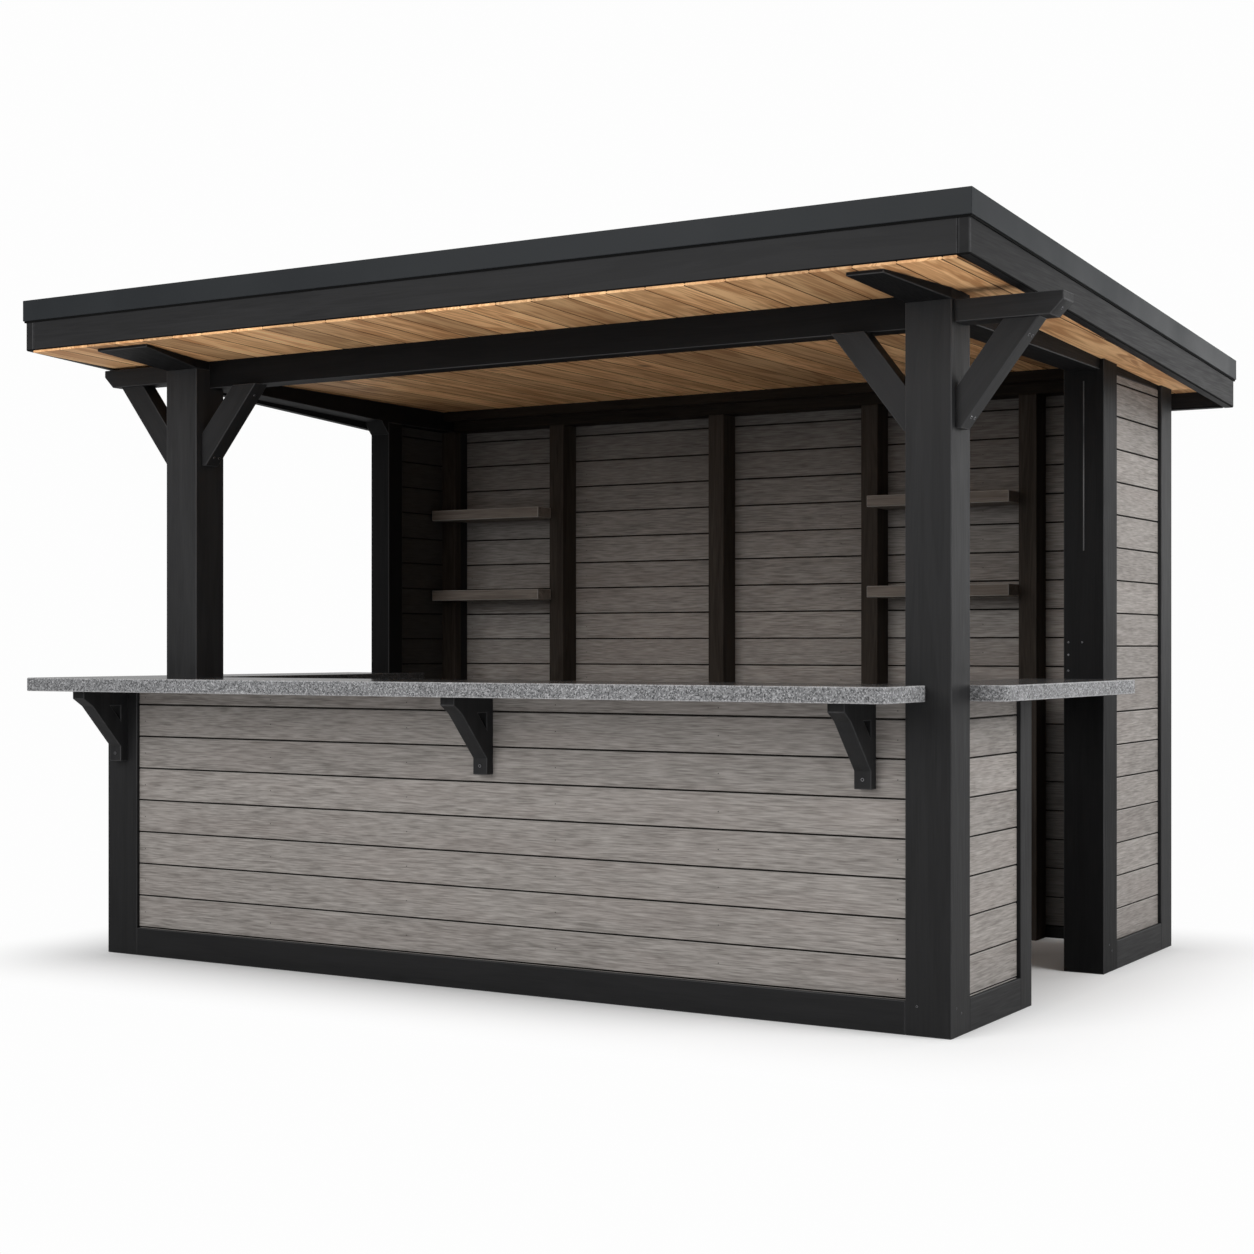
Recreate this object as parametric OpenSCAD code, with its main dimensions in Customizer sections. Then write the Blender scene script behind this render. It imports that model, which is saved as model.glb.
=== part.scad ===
// Bar pavilion: a timber garden bar under one falling roof.
// Plan sizes are measured from the outer front corner of the front right post,
// x to the right and y to the back. The whole part is then moved so that its
// origin lies on the ground at the centre of its outline.

/* [Bar] */
// Width of the bar over its two end posts
bar_w = 3458; // [3000:1:4200]
// Depth of the bar from its front posts to its back
bar_d = 2270; // [2000:1:2800]
// Side of the square roof posts
post_w = 150; // [110:1:180]
// Side of the square rear corner posts and wall end studs
corner_w = 100; // [70:1:120]
// Depth of the rear right corner post along its wall
rear_corner_d = 135; // [90:1:160]
// Distance of the front left roof post from the bar's left end
left_inset = 302; // [240:1:420]
// Front face of the mid right roof post
mid_right_y = 1434; // [1200:1:1550]
// Front face of the stud that ends the short right wall at the doorway
door_stud_y = 590; // [450:1:700]
// Front face of the stud that ends the full height left rear wall
wing_y = 1630; // [1550:1:1750]

/* [Walls] */
// Thickness of the wall boards
plank_t = 20; // [12:1:30]
// Setback of the boards from the faces of the posts
plank_recess = 15; // [8:1:25]
// Height of the skirting boards
skirting_h = 104; // [60:1:160]
// Height of the rails that carry the counter behind the boards
rail_h = 90; // [50:1:140]
// Thickness of the rails that carry the counter
rail_t = 45; // [30:1:60]

/* [Back wall studs and shelves] */
// Width of a back wall stud
stud_w = 75; // [50:1:100]
// Depth of a back wall stud and of the rear plate
stud_d = 110; // [80:1:140]
// Clear gap between the last stud and the rear right post
stud_gap_right = 401; // [200:1:500]
// Spacing of the two studs that carry the left shelves
left_bay = 603; // [450:1:750]
// Spacing of the two studs that carry the right shelves
right_bay = 690; // [450:1:800]
// Shift of the middle stud to the right of the middle of its bay
stud_shift = 50; // [0:1:90]
// Height of the rear plate
rear_plate_h = 85; // [60:1:130]
// Height and projection of the ledge along the top of the rear plate
ledge_h = 42; // [25:1:55]
ledge_front = 75; // [40:1:130]
// Underside of the lower right shelf
lower_shelf_z = 1377; // [1200:1:1480]
// Underside of the upper right shelf
upper_shelf_z = 1749; // [1650:1:1900]
// Thickness of a shelf
shelf_t = 47; // [25:1:60]
// Height of the left shelves above the right ones
left_shelf_lift = 11; // [0:1:30]
// Setback of the left shelves from the outer edge of their first stud
left_shelf_in = 21; // [0:1:40]
// Lap of the left shelves on their second stud
left_shelf_lap = 10; // [0:1:30]
// Projection of a shelf in front of the studs
shelf_front = 110; // [60:1:160]

/* [Counter] */
// Top of the counter above the ground
counter_z = 1058; // [950:1:1150]
// Thickness of the counter slabs
counter_t = 50; // [30:1:70]
// Projection of the front counter in front of the bar
counter_front = 300; // [220:1:380]
// Projection of the counter past the bar's right side
counter_side = 118; // [60:1:160]
// Projection of the counter past the bar's left side
counter_left_side = 130; // [60:1:160]
// Reach of the left and right counters into the bar
counter_in = 300; // [200:1:400]
// Part of the front right post's face left clear by the front counter
counter_end_gap = 83; // [40:1:105]
// Radius of the counter's free corners
counter_r = 22; // [5:1:40]

/* [Counter brackets] */
// Width of a bracket
bracket_w = 58; // [40:1:80]
// Height of a bracket below the counter
bracket_h = 269; // [220:1:330]
// Reach of a bracket in front of the wall
bracket_reach = 228; // [180:1:260]
// Thickness of the leg against the wall
bracket_leg = 38; // [25:1:45]
// Height of the top arm
bracket_arm = 58; // [40:1:70]
// Height of the square foot of the leg
bracket_foot = 56; // [30:1:70]
// Length of the clipped nose of the arm
bracket_nose = 46; // [20:1:60]
// Width of the strut along the underside of the arm
bracket_strut = 92; // [60:1:105]
// Centre of the middle bracket, left of the front right post's outer face
mid_bracket_x = 1700; // [1300:1:2000]
// Centre of the right bracket, left of the front right post's outer face
right_bracket_x = 280; // [230:1:500]

/* [Roof frame] */
// Underside of the level ceiling above the ground
ceiling_z = 2268; // [2150:1:2500]
// Height of the front header under the ceiling
header_h = 123; // [110:1:180]
// Thickness of the front header
header_t = 80; // [60:1:80]
// Setback of the header from the faces of the front posts
header_recess = 70; // [40:1:70]
// Height of the right side beam under the ceiling
beam_h = 100; // [80:1:140]
// Height of the left side beam under the ceiling, at the left tail
left_beam_front_h = 30; // [22:1:60]
// Height of the left side beam under the ceiling, at the left rear wall
left_beam_h = 86; // [70:1:120]
// Length and height of the haunch under the left side beam, at the left rear wall
haunch_l = 50; // [30:1:80]
haunch_h = 55; // [30:1:80]
// Width of the right side beam
beam_w = 120; // [80:1:140]
// Height of an outrigger over a front post
beam_seat_h = 53; // [35:1:65]
// Height of an outrigger's tip at the front fascia
beam_tip_h = 12; // [5:1:20]
// Place of the right outrigger's tip, from the inner face of its post
right_tip_from = -42; // [-60:1:10]
right_tip_to = 78; // [50:1:150]
// Place of the left outrigger's tip, from the outer face of its post
left_tip_from = -21; // [-60:1:10]
left_tip_to = 221; // [140:1:240]
// Length of a tail beside a front post
tail_l = 340; // [300:1:360]
// Height of a tail
tail_h = 68; // [50:1:90]
// Length and height of the clip under a tail's end
tail_clip = 42; // [20:1:45]
// Thickness of a tail
tail_t = 90; // [60:1:100]
// Setback of a tail from the face of its post
tail_recess = 20; // [0:1:30]
// Height of the left tail above the right one
left_tail_lift = 24; // [0:1:25]

/* [Knee braces] */
// Foot of the knee braces above the ground
brace_z = 1830; // [1750:1:1900]
// Reach of a knee brace from the face of its post
brace_reach = 262; // [230:1:290]
// Width of a knee brace along the timber that it carries
brace_head = 112; // [80:1:130]
// Height of a knee brace along its post
brace_heel = 122; // [90:1:140]
// Length of the level cut at the foot of a knee brace
brace_toe = 18; // [5:1:30]
// Thickness of a knee brace
brace_t = 70; // [45:1:85]
// Setback of a knee brace from the face of its post
brace_recess = 30; // [20:1:35]
// Height of the left knee braces above the right ones
left_brace_lift = 22; // [0:1:40]

/* [Roof] */
// Projection of the roof in front of the front posts
roof_front = 380; // [300:1:500]
// Projection of the roof past the bar's right side
roof_right = 215; // [160:1:260]
// Projection of the roof past the bar's left side
roof_left = 53; // [45:1:90]
// Projection of the roof behind the bar
roof_rear = 141; // [80:1:250]
// Fall of the roof to the back in degrees
roof_pitch = 3.2; // [1:0.1:5]
// Thickness of the ceiling boards
ceiling_t = 12; // [8:1:20]
// Underside of the eaves boards at the front
soffit_z = 2260; // [2142:1:2492]
// Thickness of the eaves boards, which the front fascia stands on
soffit_t = 8; // [6:1:14]
// Fall of the eaves boards to the back in degrees
soffit_pitch = 1.7; // [0.5:0.1:3]
// Thickness of the roof deck
deck_t = 15; // [10:1:25]
// Clearance between the ceiling and the deck at the back
deck_gap = 5; // [1:0.1:10]
// Thickness of the fascia boards
fascia_t = 38; // [20:1:42]
// Height of the edge trim
trim_h = 76; // [50:1:100]
// Projection of the edge trim past the fascia
trim_t = 8; // [3:1:15]
// Thickness of the edge trim's top flange
trim_lip = 6; // [2:1:10]
// Width of the edge trim's top flange
trim_flange = 70; // [50:1:110]

/* [Hidden] */
$fn = 64;
// Overlap that lets a cut pass cleanly through a face
cut = 1;

// Stained timber, wall boards, natural ceiling boards, stone and roof metal
STAIN = [0.13, 0.13, 0.135];
BOARD = [0.53, 0.50, 0.47];
STUD = [0.22, 0.18, 0.15];
CEILING = [0.74, 0.56, 0.38];
STONE = [0.50, 0.51, 0.52];
METAL = [0.19, 0.20, 0.22];

// Lines of the plan
bar_left = -bar_w;
left_post_x = bar_left + left_inset;
right_post_x = -post_w;
plank_back = plank_recess + plank_t;
rear_plank_y = bar_d - plank_back;
rear_stud_y = rear_plank_y - stud_d;
rear_post_y = bar_d - corner_w;
rear_right_y = bar_d - rear_corner_d;
tail_back = tail_recess + tail_t;
beam_x0 = right_post_x + (post_w - beam_w) / 2;

// Heights
counter_under = counter_z - counter_t;
header_z = ceiling_z - header_h;
beam_z = ceiling_z - beam_h;
left_beam_front_z = ceiling_z - left_beam_front_h;
left_beam_z = ceiling_z - left_beam_h;
post_top = ceiling_z - beam_seat_h;
tail_z = post_top - tail_h;
left_tail_z = tail_z + left_tail_lift;
fascia_z = soffit_z + soffit_t;
rear_plate_z = ceiling_z - rear_plate_h;

// Outline of the roof and the faces of its fascia boards
roof_x0 = bar_left - roof_left;
roof_x1 = roof_right;
roof_y0 = -roof_front;
roof_y1 = bar_d + roof_rear;
fascia_x0 = roof_x0 + trim_t;
fascia_x1 = roof_x1 - trim_t;
fascia_y0 = roof_y0 + trim_t;
fascia_y1 = roof_y1 - trim_t;
inner_x0 = fascia_x0 + fascia_t;
inner_x1 = fascia_x1 - fascia_t;
inner_y0 = fascia_y0 + fascia_t;
inner_y1 = fascia_y1 - fascia_t;
// The deck clears the level ceiling at the back, which sets the fascia's height
fascia_h = ceiling_z + ceiling_t + deck_gap + deck_t - fascia_z + tan(roof_pitch) * (bar_d - fascia_y0);

// Left edges of the back wall studs, from left to right
stud_1 = bar_left + plank_back;
stud_2 = stud_1 + left_bay;
stud_5 = -corner_w - stud_gap_right - stud_w;
stud_4 = stud_5 - right_bay;
stud_3 = (stud_2 + stud_4) / 2 + stud_shift;
STUDS = [stud_2, stud_3, stud_4, stud_5];

// Centre of the outline, where the part's origin lies
counter_x0 = bar_left - counter_left_side;
mid_x = (min(counter_x0, roof_x0, left_post_x - tail_l) + max(roof_x1, tail_l, counter_side)) / 2;
mid_y = (min(roof_y0, -counter_front) + roof_y1) / 2;

// Height by which the roof has fallen at a place along the depth
function fall(y) = tan(roof_pitch) * (y - fascia_y0);

// Underside of the eaves boards at a place along the depth
function soffit(y) = soffit_z - tan(soffit_pitch) * (y - fascia_y0);

// Underside of the left side beam between the left tail and the left rear wall
function left_beam_under(y) = left_beam_z
    + (left_beam_front_z - left_beam_z) * (wing_y - y) / (wing_y - tail_back);

// Moves plan positions so that the origin is at the centre of the outline
module placed() {
    translate([-mid_x, -mid_y, 0]) children();
}

// Block between two opposite corners
module block(from, to) {
    translate(from) cube(to - from);
}

// Profile drawn in y and z, run along x
module along_x(x0, x1) {
    translate([x0, 0, 0]) rotate([90, 0, 90]) linear_extrude(x1 - x0) children();
}

// Profile drawn in x and z, run along y
module along_y(y0, y1) {
    translate([0, y1, 0]) rotate([90, 0, 0]) linear_extrude(y1 - y0) children();
}

// Band that follows the roof's fall, at a height above the fascia's lower edge
module roof_band(y0, y1, low, high) {
    polygon([
        [y0, fascia_z + low - fall(y0)],
        [y1, fascia_z + low - fall(y1)],
        [y1, fascia_z + high - fall(y1)],
        [y0, fascia_z + high - fall(y0)]
    ]);
}

// Board that follows the fall of the eaves
module soffit_band(y0, y1) {
    polygon([
        [y0, soffit(y0)],
        [y1, soffit(y1)],
        [y1, soffit(y1) + soffit_t],
        [y0, soffit(y0) + soffit_t]
    ]);
}

// Square post standing on the ground
module post(x, y, side, top) {
    block([x, y, 0], [x + side, y + side, top]);
}

// Rear corner post with its front face at y
module rear_post(x, y) {
    block([x, y, 0], [x + corner_w, bar_d, ceiling_z]);
}

// Knee brace on a post face at x, leaning to the side that dir gives
module knee_brace(x, dir, foot_z, head_z) {
    along_y(brace_recess, brace_recess + brace_t) polygon([
        [x, foot_z],
        [x + dir * brace_toe, foot_z],
        [x + dir * brace_reach, head_z],
        [x + dir * (brace_reach - brace_head), head_z],
        [x, foot_z + brace_heel]
    ]);
}

// Tail beside a front post, clipped under its end
module tail(x, dir, z) {
    along_y(tail_recess, tail_recess + tail_t) polygon([
        [x, z],
        [x + dir * (tail_l - tail_clip), z],
        [x + dir * tail_l, z + tail_clip],
        [x + dir * tail_l, z + tail_h],
        [x, z + tail_h]
    ]);
}

// Timber over a front post, which narrows or spreads to a thin tip at the front fascia
module outrigger(post_x, tip_x0, tip_x1) {
    intersection() {
        linear_extrude(ceiling_z + cut) polygon([
            [tip_x0, inner_y0],
            [tip_x1, inner_y0],
            [post_x + post_w, 0],
            [post_x + post_w, post_w],
            [post_x, post_w],
            [post_x, 0]
        ]);
        along_x(min(tip_x0, post_x) - cut, max(tip_x1, post_x + post_w) + cut) polygon([
            [inner_y0, soffit(inner_y0)],
            [inner_y0, soffit(inner_y0) - beam_tip_h],
            [0, post_top],
            [post_w, post_top],
            [post_w, ceiling_z],
            [header_recess, ceiling_z],
            [header_recess, soffit(header_recess)]
        ]);
    }
}

// Bracket under the front counter, with its leg against a face at wall_y
module bracket(centre_x, wall_y) {
    leg_y = wall_y - bracket_leg;
    nose_y = wall_y - bracket_reach;
    foot_z = counter_under - bracket_h;
    arm_z = counter_under - bracket_arm;
    strut_y = nose_y + bracket_nose;
    hole_y = strut_y + bracket_strut;
    hole_z = arm_z - (leg_y - hole_y) * (arm_z - foot_z - bracket_foot) / (leg_y - strut_y);
    along_x(centre_x - bracket_w / 2, centre_x + bracket_w / 2) difference() {
        polygon([
            [wall_y, counter_under],
            [wall_y, foot_z],
            [leg_y, foot_z],
            [leg_y, foot_z + bracket_foot],
            [strut_y, arm_z],
            [nose_y, arm_z + bracket_arm / 2],
            [nose_y, counter_under]
        ]);
        polygon([[leg_y, arm_z], [hole_y, arm_z], [leg_y, hole_z]]);
    }
}

// Cutter that leaves a round vertical corner, turned by quarter
module corner_cutter(x, y, quarter) {
    translate([x, y, counter_under]) rotate([0, 0, quarter]) difference() {
        translate([-cut, -cut, -cut]) cube([counter_r + cut, counter_r + cut, counter_t + 2 * cut]);
        translate([counter_r, counter_r, -2 * cut]) cylinder(r = counter_r, h = counter_t + 4 * cut);
    }
}

// Shelf in front of the studs, with a part that reaches back between two of them
module shelf(x0, x1, stud_x, next_x, z) {
    block([x0, rear_stud_y - shelf_front, z], [x1, rear_stud_y, z + shelf_t]);
    block([stud_x + stud_w, rear_stud_y, z], [next_x, rear_plank_y, z + shelf_t]);
}

// The front boards pass in front of this post, so it is rebated below the counter
module front_left_post() {
    color(STAIN) placed() difference() {
        post(left_post_x, 0, post_w, post_top);
        block([left_post_x - cut, -cut, -cut], [left_post_x + post_w + cut, plank_back, counter_under]);
    }
}

module front_right_post() {
    color(STAIN) placed() post(right_post_x, 0, post_w, post_top);
}

module mid_right_post() {
    color(STAIN) placed() post(right_post_x, mid_right_y, post_w, ceiling_z);
}

module rear_left_post() {
    color(STAIN) placed() rear_post(bar_left, rear_post_y);
}

module rear_right_post() {
    color(STAIN) placed() rear_post(-corner_w, rear_right_y);
}

module bar_corner_post() {
    color(STAIN) placed() post(bar_left, 0, post_w, counter_under);
}

module doorway_stud() {
    color(STAIN) placed() post(-corner_w, door_stud_y, corner_w, counter_under);
}

module wing_stud() {
    color(STAIN) placed() post(bar_left, wing_y, corner_w, left_beam_z);
}

module front_header() {
    color(STAIN) placed() block(
        [left_post_x + post_w, header_recess, header_z],
        [right_post_x, header_recess + header_t, ceiling_z]);
}

module left_tail() {
    color(STAIN) placed() tail(left_post_x, -1, left_tail_z);
}

module right_tail() {
    color(STAIN) placed() tail(0, 1, tail_z);
}

module left_outrigger() {
    color(STAIN) placed() outrigger(left_post_x, left_post_x + left_tip_from, left_post_x + left_tip_to);
}

module right_outrigger() {
    color(STAIN) placed() outrigger(
        right_post_x, right_post_x + right_tip_from, right_post_x + right_tip_to);
}

// Runs from the left tail over the left rear wall, with a haunch at the wall's end stud
module left_side_beam() {
    color(STAIN) placed() along_x(bar_left, bar_left + corner_w) polygon([
        [tail_back, ceiling_z],
        [tail_back, left_beam_front_z],
        [wing_y - haunch_l, left_beam_under(wing_y - haunch_l)],
        [wing_y, left_beam_z - haunch_h],
        [wing_y, left_beam_z],
        [rear_post_y, left_beam_z],
        [rear_post_y, ceiling_z]
    ]);
}

// Runs on behind the mid right post, over the boards of the right rear wall
module right_side_beam() {
    color(STAIN) placed() {
        block([beam_x0, post_w, beam_z], [beam_x0 + beam_w, mid_right_y, ceiling_z]);
        block([beam_x0, mid_right_y + post_w, beam_z], [beam_x0 + beam_w, rear_right_y, ceiling_z]);
    }
}

// Carries the ceiling on the studs
module rear_plate() {
    color(STUD) placed() block(
        [bar_left + corner_w, rear_stud_y, rear_plate_z],
        [beam_x0, rear_plank_y, ceiling_z]);
}

// Ledge along the top of the rear plate
module rear_ledge() {
    color(STUD) placed() block(
        [bar_left + corner_w, rear_stud_y - ledge_front, ceiling_z - ledge_h],
        [beam_x0, rear_stud_y, ceiling_z]);
}

module front_left_outer_brace() {
    color(STAIN) placed() knee_brace(left_post_x, -1, brace_z + left_brace_lift, left_tail_z);
}

module front_left_inner_brace() {
    color(STAIN) placed() knee_brace(
        left_post_x + post_w, 1, brace_z + left_brace_lift, header_z);
}

module front_right_inner_brace() {
    color(STAIN) placed() knee_brace(right_post_x, -1, brace_z, header_z);
}

module front_right_outer_brace() {
    color(STAIN) placed() knee_brace(0, 1, brace_z, tail_z);
}

module front_wall() {
    color(BOARD) placed() block(
        [bar_left + post_w, plank_recess, 0],
        [right_post_x, plank_back, counter_under]);
}

module left_half_wall() {
    color(BOARD) placed() block(
        [bar_left + plank_recess, post_w, 0],
        [bar_left + plank_back, wing_y, counter_under]);
}

module left_rear_wall() {
    color(BOARD) placed() block(
        [bar_left + plank_recess, wing_y + corner_w, 0],
        [bar_left + plank_back, rear_post_y, left_beam_z]);
}

module back_wall() {
    color(BOARD) placed() block(
        [bar_left + corner_w, rear_plank_y, 0],
        [-corner_w, rear_plank_y + plank_t, ceiling_z]);
}

module right_rear_wall() {
    color(BOARD) placed() block(
        [-plank_back, mid_right_y + post_w, 0],
        [-plank_recess, rear_right_y, beam_z]);
}

module right_short_wall() {
    color(BOARD) placed() block(
        [-plank_back, post_w, 0],
        [-plank_recess, door_stud_y, counter_under]);
}

module front_skirting() {
    color(STAIN) placed() block(
        [bar_left + post_w, 0, 0],
        [right_post_x, plank_recess, skirting_h]);
}

module left_half_skirting() {
    color(STAIN) placed() block(
        [bar_left, post_w, 0],
        [bar_left + plank_recess, wing_y, skirting_h]);
}

module left_rear_skirting() {
    color(STAIN) placed() block(
        [bar_left, wing_y + corner_w, 0],
        [bar_left + plank_recess, rear_post_y, skirting_h]);
}

module back_skirting() {
    color(STAIN) placed() block(
        [bar_left + corner_w, bar_d - plank_recess, 0],
        [-corner_w, bar_d, skirting_h]);
}

module right_rear_skirting() {
    color(STAIN) placed() block(
        [-plank_recess, mid_right_y + post_w, 0],
        [0, rear_right_y, skirting_h]);
}

module right_short_skirting() {
    color(STAIN) placed() block(
        [-plank_recess, post_w, 0],
        [0, door_stud_y, skirting_h]);
}

// Rails behind the front, left and right boards, which carry the counter
module counter_rails() {
    color(STUD) placed() {
        block(
            [left_post_x + post_w, plank_back, counter_under - rail_h],
            [right_post_x, plank_back + rail_t, counter_under]);
        block(
            [bar_left + plank_back, post_w, counter_under - rail_h],
            [bar_left + plank_back + rail_t, wing_y, counter_under]);
        block(
            [-plank_back - rail_t, post_w, counter_under - rail_h],
            [-plank_back, door_stud_y, counter_under]);
    }
}

// The first stud stands in front of the rear left post, the others against the boards
module back_studs() {
    color(STUD) placed() {
        block([stud_1, rear_stud_y, 0], [stud_1 + stud_w, rear_post_y, left_beam_z]);
        for (x = STUDS)
            block([x, rear_stud_y, 0], [x + stud_w, rear_plank_y, rear_plate_z]);
    }
}

module left_lower_shelf() {
    color(BOARD) placed() shelf(
        stud_1 + left_shelf_in, stud_2 + left_shelf_lap, stud_1, stud_2,
        lower_shelf_z + left_shelf_lift);
}

module left_upper_shelf() {
    color(BOARD) placed() shelf(
        stud_1 + left_shelf_in, stud_2 + left_shelf_lap, stud_1, stud_2,
        upper_shelf_z + left_shelf_lift);
}

module right_lower_shelf() {
    color(BOARD) placed() shelf(stud_4 + stud_w, stud_5, stud_4, stud_5, lower_shelf_z);
}

module right_upper_shelf() {
    color(BOARD) placed() shelf(stud_4 + stud_w, stud_5, stud_4, stud_5, upper_shelf_z);
}

// Notched round the front left post, and stopped against the front right post
module front_counter() {
    color(STONE) placed() difference() {
        block([counter_x0, -counter_front, counter_under], [-counter_end_gap, post_w, counter_z]);
        block(
            [left_post_x, 0, counter_under - cut],
            [left_post_x + post_w, post_w + cut, counter_z + cut]);
        block([right_post_x, 0, counter_under - cut], [cut, post_w + cut, counter_z + cut]);
        corner_cutter(counter_x0, -counter_front, 0);
        corner_cutter(-counter_end_gap, -counter_front, 90);
    }
}

// Runs from the front counter to the end stud of the left rear wall
module left_counter() {
    color(STONE) placed() block(
        [counter_x0, post_w, counter_under],
        [bar_left + counter_in, wing_y, counter_z]);
}

// Bridges the doorway between the front right and mid right posts
module right_counter() {
    color(STONE) placed() difference() {
        block([-counter_in, post_w, counter_under], [counter_side, mid_right_y, counter_z]);
        corner_cutter(counter_side, post_w, 90);
        corner_cutter(counter_side, mid_right_y, 180);
    }
}

module left_bracket() {
    color(STAIN) placed() bracket(bar_left + post_w / 2, 0);
}

module middle_bracket() {
    color(STAIN) placed() bracket(-mid_bracket_x, plank_recess);
}

module right_bracket() {
    color(STAIN) placed() bracket(-right_bracket_x, plank_recess);
}

// Level boards between the header, the right side beam and the back wall
module ceiling() {
    color(CEILING) placed() block(
        [inner_x0, header_recess, ceiling_z],
        [-plank_recess, bar_d, ceiling_z + ceiling_t]);
}

// Eaves boards between the front fascia and the header
module front_soffit() {
    color(CEILING) placed() along_x(inner_x0, inner_x1) soffit_band(fascia_y0, header_recess);
}

// Eaves boards beside the right wall, cut round its posts
module right_soffit() {
    color(CEILING) placed() difference() {
        along_x(-plank_recess, inner_x1) soffit_band(header_recess, bar_d);
        post(right_post_x, mid_right_y, post_w, ceiling_z);
        post(right_post_x, 0, post_w, ceiling_z);
        rear_post(-corner_w, rear_right_y);
    }
}

// Eaves boards behind the back wall
module rear_soffit() {
    color(CEILING) placed() along_x(inner_x0, inner_x1) soffit_band(bar_d, inner_y1);
}

module roof_deck() {
    color(METAL) placed() along_x(inner_x0, inner_x1)
        roof_band(inner_y0, inner_y1, fascia_h - deck_t, fascia_h);
}

// Stands on the eaves boards, whose front edge shows below it
module front_fascia() {
    color(STAIN) placed() along_x(inner_x0, inner_x1) polygon([
        [fascia_y0, soffit(fascia_y0) + soffit_t],
        [inner_y0, soffit(inner_y0) + soffit_t],
        [inner_y0, fascia_z + fascia_h - fall(inner_y0)],
        [fascia_y0, fascia_z + fascia_h]
    ]);
}

module rear_fascia() {
    color(STAIN) placed() along_x(inner_x0, inner_x1) roof_band(inner_y1, fascia_y1, 0, fascia_h);
}

module left_fascia() {
    color(STAIN) placed() along_x(fascia_x0, inner_x0) roof_band(fascia_y0, fascia_y1, 0, fascia_h);
}

module right_fascia() {
    color(STAIN) placed() along_x(inner_x1, fascia_x1) roof_band(fascia_y0, fascia_y1, 0, fascia_h);
}

// Folded metal edge: a leg over the top of the fascia and a flange on the deck
module roof_trim() {
    top = fascia_h + trim_lip;
    color(METAL) placed() difference() {
        along_x(roof_x0, roof_x1) roof_band(roof_y0, roof_y1, top - trim_h, top);
        along_x(fascia_x0, fascia_x1) roof_band(fascia_y0, fascia_y1, top - trim_h - cut, fascia_h);
        along_x(roof_x0 + trim_flange, roof_x1 - trim_flange)
            roof_band(roof_y0 + trim_flange, roof_y1 - trim_flange, fascia_h - cut, top + cut);
    }
}

front_left_post();
front_right_post();
mid_right_post();
rear_left_post();
rear_right_post();
bar_corner_post();
doorway_stud();
wing_stud();
front_header();
left_tail();
right_tail();
left_outrigger();
right_outrigger();
left_side_beam();
right_side_beam();
rear_plate();
rear_ledge();
front_left_outer_brace();
front_left_inner_brace();
front_right_inner_brace();
front_right_outer_brace();
front_wall();
left_half_wall();
left_rear_wall();
back_wall();
right_rear_wall();
right_short_wall();
front_skirting();
left_half_skirting();
left_rear_skirting();
back_skirting();
right_rear_skirting();
right_short_skirting();
counter_rails();
back_studs();
left_lower_shelf();
left_upper_shelf();
right_lower_shelf();
right_upper_shelf();
front_counter();
left_counter();
right_counter();
left_bracket();
middle_bracket();
right_bracket();
ceiling();
front_soffit();
right_soffit();
rear_soffit();
roof_deck();
front_fascia();
rear_fascia();
left_fascia();
right_fascia();
roof_trim();
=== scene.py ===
"""Looks of a timber bar pavilion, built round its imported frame.

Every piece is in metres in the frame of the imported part: +X along the bar front to the right,
+Y to the back wall and +Z up, with the origin on the ground at the centre of the outline.
"""
from __future__ import annotations

import logging
import math
import random
from dataclasses import dataclass, field
from enum import Enum
from typing import Iterable, Sequence, Union

import bmesh
import bpy
from mathutils import Matrix, Vector

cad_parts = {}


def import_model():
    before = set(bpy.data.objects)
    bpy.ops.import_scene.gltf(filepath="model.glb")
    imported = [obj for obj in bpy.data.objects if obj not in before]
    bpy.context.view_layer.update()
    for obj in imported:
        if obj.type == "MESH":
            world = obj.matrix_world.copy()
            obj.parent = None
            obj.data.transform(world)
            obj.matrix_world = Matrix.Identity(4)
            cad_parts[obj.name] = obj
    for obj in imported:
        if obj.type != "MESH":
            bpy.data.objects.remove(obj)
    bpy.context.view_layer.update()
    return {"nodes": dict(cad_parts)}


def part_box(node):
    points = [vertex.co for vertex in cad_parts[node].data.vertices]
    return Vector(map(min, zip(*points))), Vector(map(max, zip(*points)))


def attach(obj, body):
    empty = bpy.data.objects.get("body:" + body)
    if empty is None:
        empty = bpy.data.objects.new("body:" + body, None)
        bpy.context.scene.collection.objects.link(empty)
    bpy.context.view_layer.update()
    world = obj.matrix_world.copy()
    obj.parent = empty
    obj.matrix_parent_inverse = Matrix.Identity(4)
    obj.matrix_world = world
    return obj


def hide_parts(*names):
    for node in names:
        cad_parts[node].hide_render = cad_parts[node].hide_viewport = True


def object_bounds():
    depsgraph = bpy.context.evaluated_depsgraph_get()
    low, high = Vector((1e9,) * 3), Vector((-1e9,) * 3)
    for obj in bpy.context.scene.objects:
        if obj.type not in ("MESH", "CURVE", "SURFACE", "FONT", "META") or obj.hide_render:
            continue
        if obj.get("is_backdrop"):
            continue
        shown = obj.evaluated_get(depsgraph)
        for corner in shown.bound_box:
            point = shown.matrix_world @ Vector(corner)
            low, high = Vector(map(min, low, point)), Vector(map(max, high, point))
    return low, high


LOG = logging.getLogger("bar_pavilion")
BODY = "root"
TONE = "tone"
# Painted shade darkening the stained timbers near the ground: two heights and the brightness at each
PAINTED_FOOT_SHADE = ((0.1, 1.1, 0.7, 1.0),)
# Repeats of the grain's patterns per metre, along the grain and across it
FIBRE_SCALE = (5.0, 230.0, 230.0)
STREAK_SCALE = (2.2, 70.0, 70.0)
FIGURE_SCALE = (0.8, 15.0, 15.0)
KNOT_SCALE = (2.4, 6.5, 6.5)
CLOUD_SCALE = (1.6, 7.0, 7.0)
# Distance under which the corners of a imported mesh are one
MERGE = 1e-5

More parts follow.
